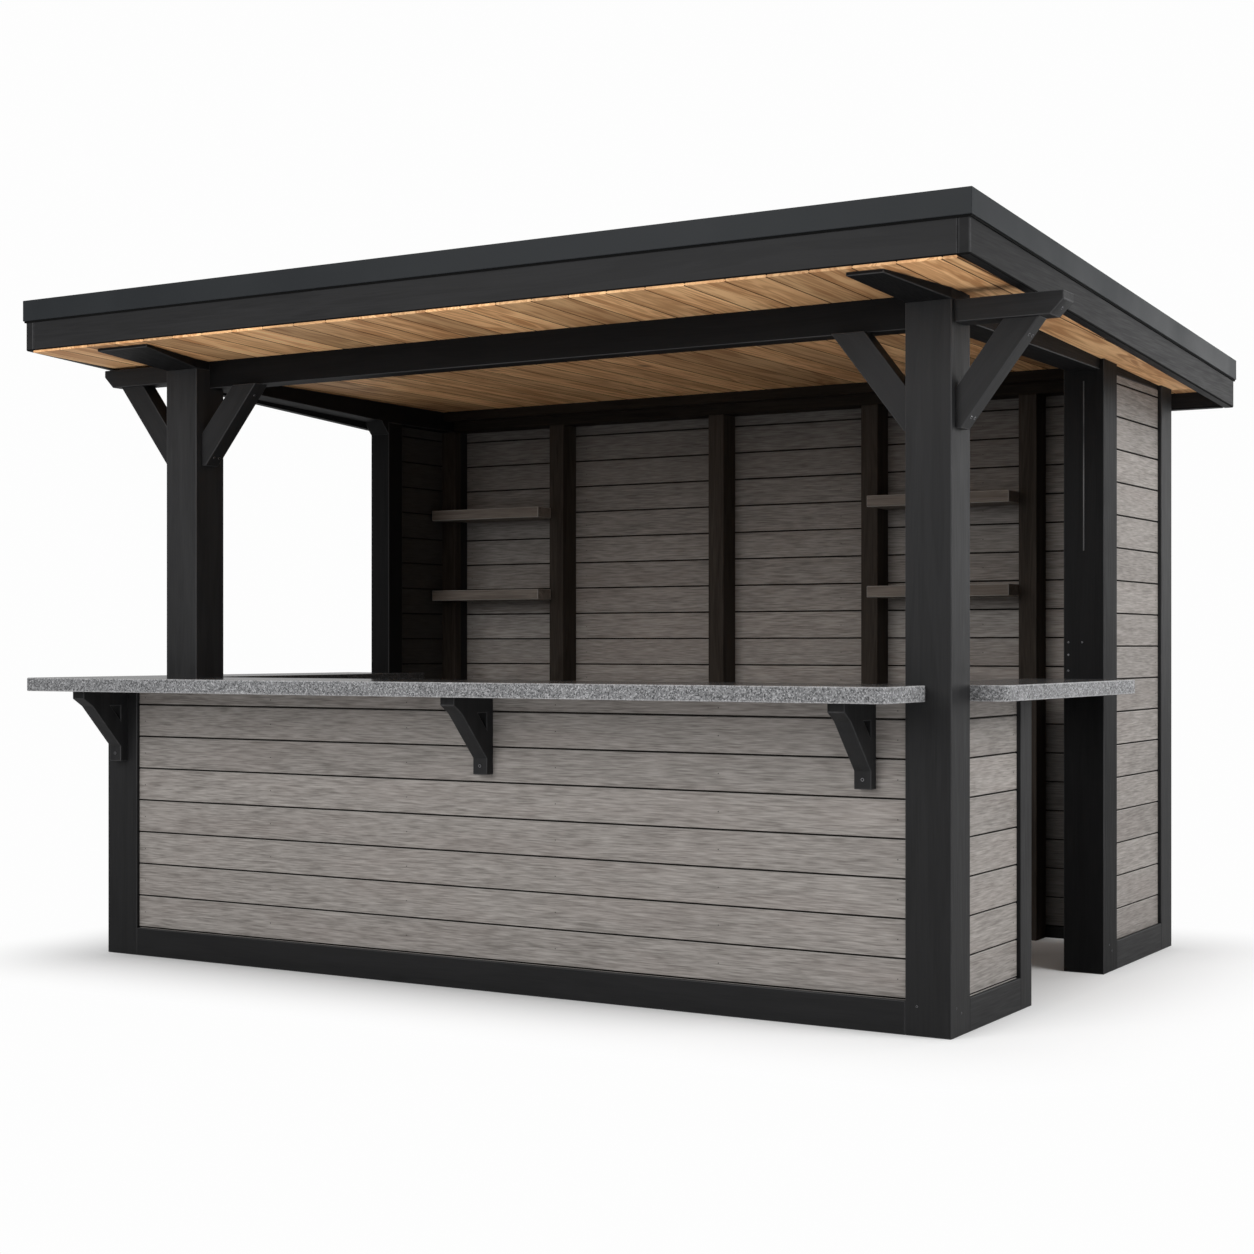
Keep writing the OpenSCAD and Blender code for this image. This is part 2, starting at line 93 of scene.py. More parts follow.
Colour = tuple[float, float, float]
Place = tuple[float, float, float]
Ramp = tuple[float, float, float, float]
Socket = bpy.types.NodeSocket
Draft = bmesh.types.BMesh
Piece = bpy.types.Object
Value = Union[float, Sequence[float], Socket]


class GrainRun(Enum):
    """Turn that lays a timber's grain along the X axis of its pattern, in degrees."""

    ALONG_X = (0.0, 0.0, 0.0)
    ALONG_Y = (0.0, 0.0, -90.0)
    ALONG_Z = (0.0, 90.0, 0.0)
    RISING_RIGHT = (0.0, 53.0, 0.0)
    RISING_LEFT = (0.0, 127.0, 0.0)


class ShaderTree:
    """Adds and links the nodes of one shader tree."""

    def __init__(self, tree: bpy.types.NodeTree) -> None:
        """Keep the tree that nodes are added to."""
        self.tree = tree

    def add(self, kind: str, **settings: object) -> bpy.types.Node:
        """Add a node.

        Args:
            kind: Blender's name for the node type.
            settings: Properties to set on the node.

        Returns:
            The new node.
        """
        node = self.tree.nodes.new(kind)
        for key, value in settings.items():
            setattr(node, key, value)
        return node

    def put(self, socket: Socket, value: Value) -> None:
        """Link a socket to another one, or set its own value.

        Args:
            socket: Input socket.
            value: Output socket to link, or a plain value.
        """
        if isinstance(value, Socket):
            self.tree.links.new(value, socket)
        elif isinstance(value, (int, float)) or len(value) != 3 or socket.type != "RGBA":
            socket.default_value = value
        else:
            socket.default_value = (*value, 1.0)

    def combine(self, kind: str, operation: str, first: Value, second: Value) -> Socket:
        """Combine two values.

        Args:
            kind: Blender's name for the node type.
            operation: The node's operation.
            first: First value.
            second: Second value.

        Returns:
            Socket of the result.
        """
        node = self.add(kind, operation=operation)
        self.put(node.inputs[0], first)
        self.put(node.inputs[1], second)
        return node.outputs[0]

    def math(self, operation: str, first: Value, second: Value = 0.0) -> Socket:
        """Combine two numbers."""
        return self.combine("ShaderNodeMath", operation, first, second)

    def vector(self, operation: str, first: Value, second: Value) -> Socket:
        """Combine two vectors, or a vector and a number's socket."""
        return self.combine("ShaderNodeVectorMath", operation, first, second)

    def span(
            self, value: Value, low: float, high: float, to_low: float, to_high: float, kind: str = "LINEAR"
    ) -> Socket:
        """Map a number from one range to another, clamped.

        Args:
            value: Number to map.
            low: Start of its range.
            high: End of its range.
            to_low: Result at the start.
            to_high: Result at the end.
            kind: How the results between them run.

        Returns:
            Socket of the result.
        """
        node = self.add("ShaderNodeMapRange", clamp=True, interpolation_type=kind)
        for socket, item in zip(node.inputs, (value, low, high, to_low, to_high)):
            self.put(socket, item)
        return node.outputs[0]

    def blend(self, factor: Value, first: Value, second: Value) -> Socket:
        """Mix two colours.

        Args:
            factor: Share of the second colour.
            first: First colour.
            second: Second colour.

        Returns:
            Socket of the mixed colour.
        """
        node = self.add("ShaderNodeMix", data_type="RGBA")
        self.put(node.inputs[0], factor)
        self.put(node.inputs[6], first)
        self.put(node.inputs[7], second)
        return node.outputs[2]

    def noise(self, vector: Value, scale: float, detail: float = 2.0, twist: float = 0.0) -> Socket:
        """Add a noise pattern.

        Args:
            vector: Where the pattern is read.
            scale: Scale of the pattern.
            detail: Number of finer layers.
            twist: Distortion of the pattern.

        Returns:
            Socket of the pattern, about 0 to 1.
        """
        node = self.add("ShaderNodeTexNoise")
        self.put(node.inputs["Vector"], vector)
        self.put(node.inputs["Scale"], scale)
        self.put(node.inputs["Detail"], detail)
        self.put(node.inputs["Distortion"], twist)
        return node.outputs[0]

    def cells(self, vector: Value, scale: float) -> bpy.types.Node:
        """Add a pattern of random cells.

        Args:
            vector: Where the pattern is read.
            scale: Cells per metre.

        Returns:
            The Voronoi node, for its distance and colour.
        """
        node = self.add("ShaderNodeTexVoronoi")
        self.put(node.inputs["Vector"], vector)
        self.put(node.inputs["Scale"], scale)
        return node

    def weighted(self, first: Value, second: Value, share: float) -> Socket:
        """Mix two numbers, with a share of the first."""
        rest = self.math("MULTIPLY", second, 1.0 - share)
        return self.math("ADD", self.math("MULTIPLY", first, share), rest)

    def relief(self, shader: bpy.types.Node, height: Value, depth: float, strength: float) -> None:
        """Give a shader a fine relief.

        Args:
            shader: Shader node.
            height: Pattern of the relief.
            depth: Depth of the relief.
            strength: Strength of the relief.
        """
        bump = self.add("ShaderNodeBump")
        bump.inputs["Distance"].default_value = depth
        bump.inputs["Strength"].default_value = strength
        self.put(bump.inputs["Height"], height)
        self.put(shader.inputs["Normal"], bump.outputs[0])

    def place(self) -> Socket:
        """Add the piece's own coordinates, in metres."""
        return self.add("ShaderNodeTexCoord").outputs["Object"]


def wood_grain() -> bpy.types.NodeTree:
    """Build the shared grain pattern, read with the grain along X.

    Returns:
        Node group with fibre, figure, ring and knot masks.
    """
    name = "wood_grain"
    if name in bpy.data.node_groups:
        return bpy.data.node_groups[name]
    group = bpy.data.node_groups.new(name, "ShaderNodeTree")
    for label, kind in (("Vector", "NodeSocketVector"), ("Tone", "NodeSocketFloat")):
        group.interface.new_socket(name=label, in_out="INPUT", socket_type=kind)
    for label in ("Fibre", "Figure", "Rings", "Knot"):
        group.interface.new_socket(name=label, in_out="OUTPUT", socket_type="NodeSocketFloat")
    tree = ShaderTree(group)
    given = tree.add("NodeGroupInput").outputs
    result = tree.add("NodeGroupOutput").inputs
    shift = tree.vector("MULTIPLY", (37.0, 11.0, 23.0), given["Tone"])
    place = tree.vector("ADD", given["Vector"], shift)
    fibre = tree.noise(tree.vector("MULTIPLY", place, FIBRE_SCALE), 1.0, 3.0)
    coarse = tree.noise(tree.vector("MULTIPLY", place, STREAK_SCALE), 1.0, 2.0)
    figure = tree.noise(tree.vector("MULTIPLY", place, FIGURE_SCALE), 1.0, 3.0, 0.7)
    rings = tree.math("SINE", tree.math("MULTIPLY", figure, 40.0))
    knots = tree.cells(tree.vector("MULTIPLY", place, KNOT_SCALE), 1.0)
    spot = tree.span(knots.outputs["Distance"], 0.03, 0.17, 1.0, 0.0)
    rare = tree.math("GREATER_THAN", knots.outputs["Color"], 0.62)
    tree.put(result["Fibre"], tree.weighted(fibre, coarse, 0.78))
    tree.put(result["Figure"], figure)
    tree.put(result["Rings"], tree.span(rings, -1.0, 1.0, 0.0, 1.0))
    tree.put(result["Knot"], tree.math("MULTIPLY", spot, rare))
    return group


class Finish:
    """Finish whose material is built once for each name."""

    name: str

    def material(self) -> bpy.types.Material:
        """Give the material, which is built the first time."""
        if self.name not in bpy.data.materials:
            made = bpy.data.materials.new(self.name)
            made.use_nodes = True
            self.dress(ShaderTree(made.node_tree), made.node_tree.nodes["Principled BSDF"])
        return bpy.data.materials[self.name]

    def dress(self, tree: ShaderTree, shader: bpy.types.Node) -> None:
        """Set up the shader, in each kind of finish."""
        raise NotImplementedError


@dataclass(frozen=True)
class WoodFinish(Finish):
    """Finish of sawn or planed timber, stained or bare.

    Attributes:
        name: Name of the material.
        dark: Colour in the dark grain.
        light: Colour in the light grain.
        patch: Colour of broad uneven patches.
        patch_share: Strength of those patches.
        run: Direction of the grain.
        tone_spread: Difference in brightness between boards.
        ring_share: Strength of the growth rings.
        knot: Colour of the knots.
        knot_share: Strength of the knots.
        roughness: Lowest and highest roughness.
        relief: Strength of the grain's relief.
        gloss: Strength of the surface's reflection.
        pitch: Shortening of the grain along its run.
        fine: Share of the fine fibres against the broad figure.
        falls: Painted shade that changes with height, each with two heights and the brightness at them.
    """

    name: str
    dark: Colour
    light: Colour
    patch: Colour
    patch_share: float = 0.3
    run: GrainRun = GrainRun.ALONG_X
    tone_spread: float = 0.2
    ring_share: float = 0.25
    knot: Colour = (0.05, 0.03, 0.02)
    knot_share: float = 0.4
    roughness: tuple[float, float] = (0.55, 0.75)
    relief: float = 0.25
    gloss: float = 0.4
    pitch: float = 1.0
    fine: float = 0.55
    falls: tuple[Ramp, ...] = ()

    def dress(self, tree: ShaderTree, shader: bpy.types.Node) -> None:
        """Set up the shader.

        Args:
            tree: Tree of the material.
            shader: Its Principled shader.
        """
        place = tree.place()
        height = tree.add("ShaderNodeSeparateXYZ")
        tree.put(height.inputs[0], place)
        turn = tree.add("ShaderNodeMapping")
        tree.put(turn.inputs["Vector"], place)
        turn.inputs["Rotation"].default_value = [math.radians(a) for a in self.run.value]
        tone = tree.add("ShaderNodeAttribute", attribute_name=TONE).outputs["Fac"]
        grain = tree.add("ShaderNodeGroup", node_tree=wood_grain())
        along = tree.vector("MULTIPLY", turn.outputs[0], (self.pitch, 1.0, 1.0))
        tree.put(grain.inputs["Vector"], along)
        tree.put(grain.inputs["Tone"], tone)
        out = grain.outputs
        mixed = tree.weighted(out["Fibre"], out["Figure"], self.fine)
        ringed = tree.math("MULTIPLY", tree.math("SUBTRACT", out["Rings"], 0.5), 0.3 * self.ring_share)
        share = tree.span(tree.math("ADD", mixed, ringed), 0.32, 0.66, 0.0, 1.0)
        colour = tree.blend(share, self.dark, self.light)
        clouds = tree.noise(tree.vector("MULTIPLY", turn.outputs[0], CLOUD_SCALE), 1.0, 3.0, 0.4)
        clouded = tree.math("MULTIPLY", tree.span(clouds, 0.45, 0.75, 0.0, 1.0), self.patch_share)
        colour = tree.blend(clouded, colour, self.patch)
        colour = tree.blend(tree.math("MULTIPLY", out["Knot"], self.knot_share), colour, self.knot)
        level = tree.span(tone, 0.0, 1.0, 1.0 - self.tone_spread / 2, 1.0 + self.tone_spread / 2)
        for ramp in self.falls:
            level = tree.math("MULTIPLY", level, tree.span(height.outputs["Z"], *ramp))
        tree.put(shader.inputs["Base Color"], tree.vector("MULTIPLY", colour, level))
        tree.put(shader.inputs["Roughness"], tree.span(out["Fibre"], 0.3, 0.7, *self.roughness))
        shader.inputs["Specular IOR Level"].default_value = self.gloss
        pattern = tree.math("SUBTRACT", mixed, tree.math("MULTIPLY", out["Knot"], 0.2))
        tree.relief(shader, pattern, 0.0012, self.relief)


@dataclass(frozen=True)
class GraniteFinish(Finish):
    """Finish of fine grained stone with a smooth top and a rougher edge.

    Attributes:
        name: Name of the material.
        pepper: Colour of the dark grains.
        ground: Colour of the common grains.
        salt: Colour of the pale grains.
        top_shade: Brightness of the smooth top against the edge, darker partly for its polish and partly as a
            painted shade.
        grains: Coarse and fine grains per metre.
        roughness: Roughness of the edge and the top.
        gloss: Strength of the surface's reflection.
    """

    name: str
    pepper: Colour
    ground: Colour
    salt: Colour
    top_shade: float
    grains: tuple[float, float] = (205.0, 430.0)
    roughness: tuple[float, float] = (0.62, 0.14)
    gloss: float = 0.4

    def dress(self, tree: ShaderTree, shader: bpy.types.Node) -> None:
        """Set up the shader.

        Args:
            tree: Tree of the material.
            shader: Its Principled shader.
        """
        place = tree.place()
        coarse, fine = (tree.cells(place, grains).outputs["Color"] for grains in self.grains)
        grit = tree.weighted(coarse, fine, 0.6)
        colour = tree.blend(tree.span(grit, 0.26, 0.42, 0.0, 1.0), self.pepper, self.ground)
        colour = tree.blend(tree.span(grit, 0.55, 0.8, 0.0, 1.0), colour, self.salt)
        clouds = tree.span(tree.noise(place, 5.0, 3.0), 0.3, 0.7, 0.92, 1.08)
        normal = tree.add("ShaderNodeSeparateXYZ")
        tree.put(normal.inputs[0], tree.add("ShaderNodeNewGeometry").outputs["Normal"])
        top = tree.span(normal.outputs["Z"], 0.5, 0.9, 0.0, 1.0)
        # The top is darkened, partly for its polish and partly as a painted shade
        shade = tree.math("MULTIPLY", clouds, tree.span(top, 0.0, 1.0, 1.0, self.top_shade))
        tree.put(shader.inputs["Base Color"], tree.vector("MULTIPLY", colour, shade))
        tree.put(shader.inputs["Roughness"], tree.span(top, 0.0, 1.0, *self.roughness))
        shader.inputs["Specular IOR Level"].default_value = self.gloss
        tree.relief(shader, tree.math("MULTIPLY", grit, tree.math("SUBTRACT", 1.0, top)), 0.0008, 0.3)


@dataclass(frozen=True)
class CoatFinish(Finish):
    """Finish of a coated, rubbed or plain hard surface.

    Attributes:
        name: Name of the material.
        colour: Main colour.
        second: Colour of faint clouds in it.
        roughness: Lowest and highest roughness.
        metallic: Metallic share.
        grain_scale: Scale of the fine surface relief, per metre.
        relief: Strength of that relief.
        gloss: Strength of the surface's reflection.
    """

    name: str
    colour: Colour
    second: Colour
    roughness: tuple[float, float]
    metallic: float = 0.0
    grain_scale: float = 600.0
    relief: float = 0.05
    gloss: float = 0.4

    def dress(self, tree: ShaderTree, shader: bpy.types.Node) -> None:
        """Set up the shader.

        Args:
            tree: Tree of the material.
            shader: Its Principled shader.
        """
        place = tree.place()
        clouds = tree.noise(place, 3.5, 4.0, 0.3)
        share = tree.span(clouds, 0.35, 0.7, 0.0, 1.0)
        tree.put(shader.inputs["Base Color"], tree.blend(share, self.colour, self.second))
        tree.put(shader.inputs["Roughness"], tree.span(clouds, 0.3, 0.7, *self.roughness))
        shader.inputs["Metallic"].default_value = self.metallic
        shader.inputs["Specular IOR Level"].default_value = self.gloss
        tree.relief(shader, tree.noise(place, self.grain_scale, 2.0), 0.0006, self.relief)


def stain(run: GrainRun, shade: float = 1.0) -> WoodFinish:
    """Finish of the near black stained timber.

    Args:
        run: Direction of the grain.
        shade: Brightness against the common timbers, as painted shade and light.

    Returns:
        The finish.
    """
    dark, light, patch, knot = (
        tuple(c * shade for c in (v, v, v * 1.04)) for v in (0.0125, 0.0225, 0.025, 0.008))
    return WoodFinish(
        name=f"charcoal_stain_{run.name.lower()}_{round(shade * 100)}", run=run, dark=dark, light=light,
        patch=patch, patch_share=0.25, tone_spread=0.12, ring_share=0.2, knot=knot, knot_share=0.4,
        roughness=(0.42, 0.6), relief=0.3, gloss=0.11 * shade, pitch=1.6, falls=PAINTED_FOOT_SHADE)


def stain_edge_wear_and_highlight(run: GrainRun) -> WoodFinish:
    """Finish of the stained timber's paler rounded edges, partly rubbed wear and partly a painted highlight.
    """
    return WoodFinish(
        name=f"charcoal_arris_{run.name.lower()}", run=run,
        dark=(0.018, 0.018, 0.0187), light=(0.052, 0.052, 0.054), patch=(0.03, 0.03, 0.031),
        roughness=(0.45, 0.6), relief=0.2, gloss=0.2, falls=PAINTED_FOOT_SHADE)


def weathered(run: GrainRun, shade: float = 1.0, falls: tuple[Ramp, ...] = ()) -> WoodFinish:
    """Finish of the weathered grey wall boards.

    Args:
        run: Direction of the grain.
        shade: Brightness against the common boards, as painted shade and light.
        falls: Painted shade that changes with height.

    Returns:
        The finish.
    """
    dark, light, patch, knot = (
        tuple(c * shade for c in colour) for colour in (
            (0.142, 0.128, 0.117), (0.335, 0.312, 0.292), (0.25, 0.205, 0.188), (0.085, 0.074, 0.066)))
    return WoodFinish(
        name=f"weathered_board_{run.name.lower()}_{round(shade * 100)}", run=run, dark=dark, light=light,
        patch=patch, patch_share=0.2, tone_spread=0.12, ring_share=0.15, knot=knot, knot_share=0.22,
        roughness=(0.6, 0.8), relief=0.5, gloss=0.25, pitch=2.8, fine=0.9, falls=falls)


BARE_SOFTWOOD = WoodFinish(
    name="bare_softwood", run=GrainRun.ALONG_Y, dark=(0.5, 0.24, 0.097), light=(0.93, 0.575, 0.288),
    patch=(0.485, 0.23, 0.093), patch_share=0.55, tone_spread=0.6, ring_share=0.8, knot=(0.12, 0.05, 0.02),
    knot_share=0.8, roughness=(0.5, 0.7), gloss=0.25, pitch=1.25, fine=0.4)
STUD_BROWN = WoodFinish(
    name="brown_stud_along_z", run=GrainRun.ALONG_Z, dark=(0.016, 0.012, 0.009), light=(0.052, 0.043, 0.036),
    patch=(0.022, 0.017, 0.013), patch_share=0.35, tone_spread=0.3, relief=0.3, gloss=0.1, pitch=1.6)
# Level back-wall timbers, darker than the studs as a painted shade
PLATE_BROWN = WoodFinish(
    name="brown_plate_along_x", dark=(0.006, 0.0045, 0.0034), light=(0.024, 0.0185, 0.014),
    patch=(0.012, 0.009, 0.007), patch_share=0.35, relief=0.3, gloss=0.08, pitch=1.6)
SHELF_BROWN = WoodFinish(
    name="shelf_board_along_x", dark=(0.105, 0.086, 0.072), light=(0.26, 0.229, 0.201),
    patch=(0.15, 0.125, 0.106), patch_share=0.35, tone_spread=0.1, relief=0.3, gloss=0.25, pitch=1.6)
# Near black chamfer under each wall board, a painted shadow in the groove
GROOVE = CoatFinish("board_groove", (0.010, 0.009, 0.008), (0.016, 0.014, 0.012), (0.8, 0.95), gloss=0.1)
# Pale chamfer on the top of each wall board and on the shelves' edges, a painted highlight
BOARD_ARRIS = CoatFinish("board_arris", (0.30, 0.28, 0.26), (0.36, 0.34, 0.32), (0.6, 0.8), gloss=0.25)
# Dark chamfers beside each ceiling groove, a painted shadow in the joint
CEILING_GROOVE = CoatFinish("ceiling_groove", (0.10, 0.05, 0.022), (0.16, 0.085, 0.04), (0.7, 0.9), gloss=0.1)
GRANITE = GraniteFinish("grey_granite", (0.036, 0.036, 0.038), (0.17, 0.172, 0.177), (0.45, 0.45, 0.46), 0.4)
# Paler stone on the counters' rounded edges, a painted highlight
GRANITE_HIGHLIGHT = GraniteFinish(
    "granite_edge_highlight", (0.12, 0.12, 0.123), (0.30, 0.30, 0.305), (0.5, 0.5, 0.51), 1.0)
# Dark stone for the left counter's inner edge, a painted shade
GRANITE_SHADE = GraniteFinish(
    "granite_inner_edge", (0.012, 0.012, 0.013), (0.04, 0.04, 0.042), (0.12, 0.12, 0.122), 1.0)
EDGE_SHEET = CoatFinish(
    "edge_sheet", (0.0165, 0.0187, 0.021), (0.020, 0.0225, 0.0247), (0.42, 0.54), grain_scale=900.0,
    relief=0.06, gloss=0.14)
MEMBRANE = CoatFinish(
    "roof_membrane", (0.024, 0.025, 0.027), (0.05, 0.051, 0.053), (0.7, 0.9), grain_scale=420.0, relief=0.6)
SCREW = CoatFinish("screw_steel", (0.24, 0.24, 0.25), (0.17, 0.17, 0.18), (0.35, 0.5), 1.0)
# Near black painted shadow line under the roof edge and on the fascias' lower edges
SHADOW_LINE = CoatFinish("painted_shadow_line", (0.003, 0.003, 0.003), (0.005, 0.005, 0.005), (0.85, 0.95), gloss=0.1)
# Pale strip on the mid right post's joint, a painted highlight
JOINT_HIGHLIGHT = CoatFinish("joint_highlight", (0.024, 0.024, 0.025), (0.13, 0.13, 0.133), (0.4, 0.6), gloss=0.3)
# Near black disc on each screw head, painted shade for its socket
SCREW_HOLE = CoatFinish("screw_hole", (0.004, 0.004, 0.004), (0.007, 0.007, 0.007), (0.8, 0.95), gloss=0.1)
NAIL = CoatFinish("nail_head", (0.045, 0.042, 0.04), (0.06, 0.055, 0.05), (0.5, 0.65), 0.6)


def box_mesh(bm: Draft, low: Vector, high: Vector) -> list[bmesh.types.BMVert]:
    """Add a box to a mesh.

    Args:
        bm: Mesh to add to.
        low: Lowest corner.
        high: Highest corner.

    Returns:
        The box's vertices.
    """
    place = Matrix.Translation((low + high) / 2) @ Matrix.Diagonal((*(high - low), 1.0))
    return bmesh.ops.create_cube(bm, size=1.0, matrix=place)["verts"]


def round_edges(
        bm: Draft, edges: Iterable[bmesh.types.BMEdge], width: float, segments: int = 2
) -> dict[str, list]:
    """Bevel edges of a mesh.

    Args:
        bm: Mesh to bevel.
        edges: Edges to round.
        width: Width of the bevel along each face.
        segments: Number of strips in the bevel.

    Returns:
        The new vertices, edges and faces.
    """
    return bmesh.ops.bevel(
        bm, geom=list(edges), offset=width, offset_type="OFFSET", segments=segments, profile=0.5,
        affect="EDGES", clamp_overlap=True, material=-1)


def join(whole: Draft, board: Draft) -> None:
    """Move a board's mesh, which is freed, into a larger mesh.

    Args:
        whole: Mesh to add to.
        board: Mesh of the board.
    """
    mesh = bpy.data.meshes.new("sawn_board")
    board.to_mesh(mesh)
    board.free()
    whole.from_mesh(mesh)
    bpy.data.meshes.remove(mesh)


def add_board(
        bm: Draft, low: Vector, high: Vector, run: int, arris: tuple[float, float], tone: float
) -> list[bmesh.types.BMFace]:
    """Add one level board, with a painted shadow along its lower edges and a painted highlight along its
    upper ones.

    Args:
        bm: Mesh to add to, with a tone layer on its vertices.
        low: Lowest corner.
        high: Highest corner.
        run: Index of the axis that the board runs along.
        arris: Width of the chamfer along the lower and the upper edges.
        tone: Random number that sets the board's shade and grain.

    Returns:
        The board's faces.
    """
    board = bmesh.new()
    box_mesh(board, low, high)
    layer = board.verts.layers.float.new(TONE)
    middle = (low.z + high.z) / 2
    for index, width in enumerate(arris, 1):
        long_edges = [
            e for e in board.edges
            if abs((e.verts[0].co - e.verts[1].co)[run]) > (high - low)[run] / 2
            and (e.verts[0].co.z > middle) == (index == 2) and e.calc_face_angle(0.0) > 1.0]
        for face in round_edges(board, long_edges, width, 1)["faces"]:
            face.material_index = index
    for vert in board.verts:
        vert[layer] = tone
    known = len(bm.faces)
    join(bm, board)
    bm.faces.ensure_lookup_table()
    return bm.faces[known:]


def add_disc(
        bm: Draft, place: Vector, normal: Vector, radius: float, height: float, sides: int
) -> list[bmesh.types.BMVert]:
    """Add a low round head on a face.

    Args:
        bm: Mesh to add to.
        place: Centre of the head on the face.
        normal: Direction that the head stands out in.
        radius: Radius of the head.
        height: Height of the head above the face.
        sides: Number of sides.

    Returns:
        The head's vertices.
    """
    turn = normal.to_track_quat("Z", "Y").to_matrix().to_4x4()
    return bmesh.ops.create_cone(
        bm, cap_ends=True, segments=sides, radius1=radius, radius2=radius * 0.86, depth=height * 2,
        matrix=Matrix.Translation(place) @ turn)["verts"]


def make_piece(
        name: str, bm: Draft, finishes: Sequence[bpy.types.Material],
        nodes: Sequence[str] = ()
) -> Piece:
    """Turn a mesh into a piece that rides on the frame.

    Args:
        name: Name of the piece.
        bm: Its mesh, which is freed.
        finishes: Its materials, by material index.
        nodes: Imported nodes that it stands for.

    Returns:
        The new object.
    """
    mesh = bpy.data.meshes.new(name)
    bm.to_mesh(mesh)
    bm.free()
    for finish in finishes:
        mesh.materials.append(finish)
    piece = bpy.data.objects.new(name, mesh)
    bpy.context.scene.collection.objects.link(piece)
    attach(piece, BODY)
    if nodes:
        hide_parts(*nodes)
    LOG.info("piece %s: %d faces", name, len(mesh.polygons))
    return piece


def rounded_copy(node: Piece, width: float, segments: int, tone: float) -> Draft:
    """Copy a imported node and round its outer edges.

    Args:
        node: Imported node.
        width: Width of the rounding.
        segments: Number of strips in the rounding.
        tone: Random number that sets its shade and grain.

    Returns:
        The new mesh, with the rounded edges in the second material.
    """
    bm = bmesh.new()
    bm.from_mesh(node.data)
    for face in bm.faces:
        face.material_index = 0
    bmesh.ops.remove_doubles(bm, verts=bm.verts[:], dist=MERGE)
    bmesh.ops.dissolve_limit(bm, angle_limit=math.radians(1.0), verts=bm.verts[:], edges=bm.edges[:])
    sharp = [e for e in bm.edges if e.is_convex and e.calc_face_angle(0.0) > math.radians(20.0)]
    made = round_edges(bm, sharp, width, segments)
    for face in made["faces"]:
        face.material_index = 1
    layer = bm.verts.layers.float.new(TONE)
    for vert in bm.verts:
        vert[layer] = tone
    return bm


@dataclass
class TimberFrame:
    """Posts, beams, braces, skirtings, brackets and fascia boards in stained timber.

    Attributes:
        timbers: Nodes by the direction of their grain.
        edged: Timbers whose rounded lower edge carries a painted shadow line.
        shades: Brightness of timbers darkened as painted shade or brightened as painted light against the
            rest.
        arris: Rounding of the timbers' edges.
        edge: Rounding of the timbers with a painted shadow line along the lower edge.
        joint: Share of the mid right post's width at the joint of its two timbers, and the joint's ends.
        joint_size: Half width, height above the post's face and depth below it of that joint.
        seed: Seed of the shades.
    """

    timbers: dict[GrainRun, Sequence[str]] = field(default_factory=lambda: {
        GrainRun.ALONG_Z: (
            "front_left_post", "front_right_post", "mid_right_post", "rear_left_post", "rear_right_post",
            "bar_corner_post", "doorway_stud", "wing_stud", "left_bracket", "middle_bracket",
            "right_bracket"),
        GrainRun.ALONG_X: (
            "front_header", "left_tail", "right_tail", "front_skirting", "back_skirting", "front_fascia",
            "rear_fascia"),
        GrainRun.ALONG_Y: (
            "left_side_beam", "right_side_beam", "left_outrigger", "right_outrigger", "left_half_skirting",
            "left_rear_skirting", "right_rear_skirting", "right_short_skirting", "left_fascia",
            "right_fascia"),
        GrainRun.RISING_RIGHT: ("front_left_inner_brace", "front_right_outer_brace"),
        GrainRun.RISING_LEFT: ("front_left_outer_brace", "front_right_inner_brace")})
    edged: Sequence[str] = ("front_fascia", "left_fascia", "right_fascia", "rear_fascia")
    arris: float = 0.003
    edge: float = 0.005
    # Painted shade on the timbers under the roof and on the right fascia; painted light on the front left
    # post
    shades: dict[str, float] = field(default_factory=lambda: {
        "front_header": 0.4, "left_side_beam": 0.5, "right_side_beam": 0.5, "left_outrigger": 0.5,
        "right_outrigger": 0.5, "mid_right_post": 0.5, "wing_stud": 0.5, "right_fascia": 0.75,
        "front_left_post": 1.35})
    joint: tuple[float, float, float] = (0.5, 1.52, 2.13)
    joint_size: tuple[float, float, float] = (0.0022, 0.0008, 0.001)
    seed: int = 11

    def build(self, nodes: dict[str, Piece]) -> None:
        """Make every timber.

        Args:
            nodes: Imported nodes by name.
        """
        shade = random.Random(self.seed)
        for run, names in self.timbers.items():
            for name in names:
                coat = stain(run, self.shades.get(name, 1.0))
                finishes = [coat.material(), stain_edge_wear_and_highlight(run).material(), SHADOW_LINE.material()]
                width = self.edge if name in self.edged else self.arris
                bm = rounded_copy(nodes[name], width, 2, shade.random())
                bm.normal_update()
                for face in bm.faces:
                    # Painted shadow line on the fascias' downward rounded edges
                    if name in self.edged and face.material_index == 1 and face.normal.z < -0.2:
                        face.material_index = 2
                make_piece(f"{name}_timber", bm, finishes, [name])
        self.post_joint()

    def post_joint(self) -> None:
        """Make the pale line where the two timbers of the mid right post meet, a painted highlight."""
        low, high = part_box("mid_right_post")
        share, foot, head = self.joint
        middle = low.x + (high.x - low.x) * share
        bm = bmesh.new()
        half, proud, deep = self.joint_size
        box_mesh(
            bm, Vector((middle - half, low.y - proud, foot)), Vector((middle + half, low.y + deep, head)))
        make_piece("mid_right_post_joint", bm, [JOINT_HIGHLIGHT.material()])


